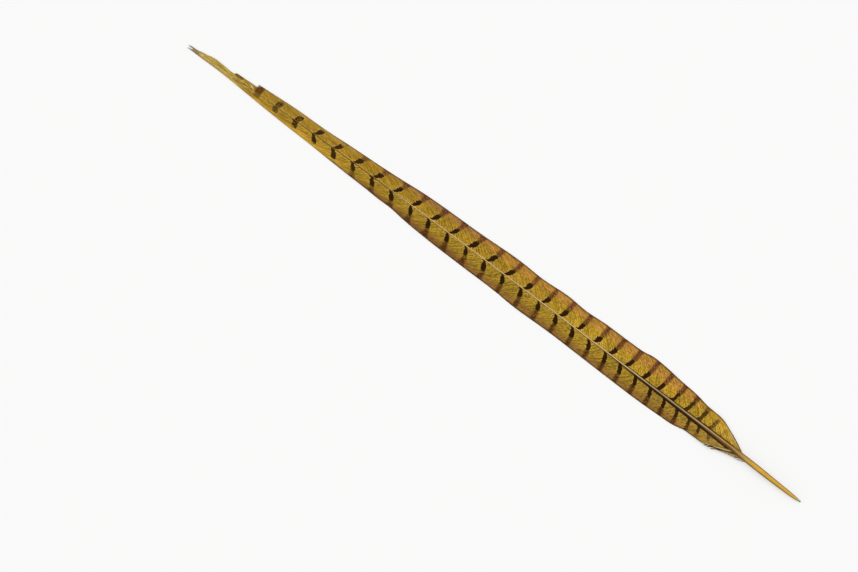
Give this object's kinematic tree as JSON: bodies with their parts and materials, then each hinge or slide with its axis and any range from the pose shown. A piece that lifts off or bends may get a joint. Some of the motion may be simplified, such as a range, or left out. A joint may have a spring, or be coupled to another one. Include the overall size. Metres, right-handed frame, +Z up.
{
  "type": "pheasant tail feather",
  "caption": "Long, narrow, barred central tail feather of a ring-necked cock pheasant with a bare tapering quill, lying outer face up.",
  "frame": {"origin": "under the middle of the feather's box, on the surface that it lies on", "axes": "+X from the quill's end to the tip, +Y to the left of that seen from above, +Z up out of the outer face"},
  "size_m": [0.5, 0.0294, 0.0042],
  "materials": {
    "vane": "matte keratin webs, olive gold with black bars and purple brown margins",
    "quill": "satin keratin, golden at the bare quill and grey brown along the shaft"
  },
  "bodies": {
    "root": {"tail_feather": "vane"}
  },
  "joints": []
}
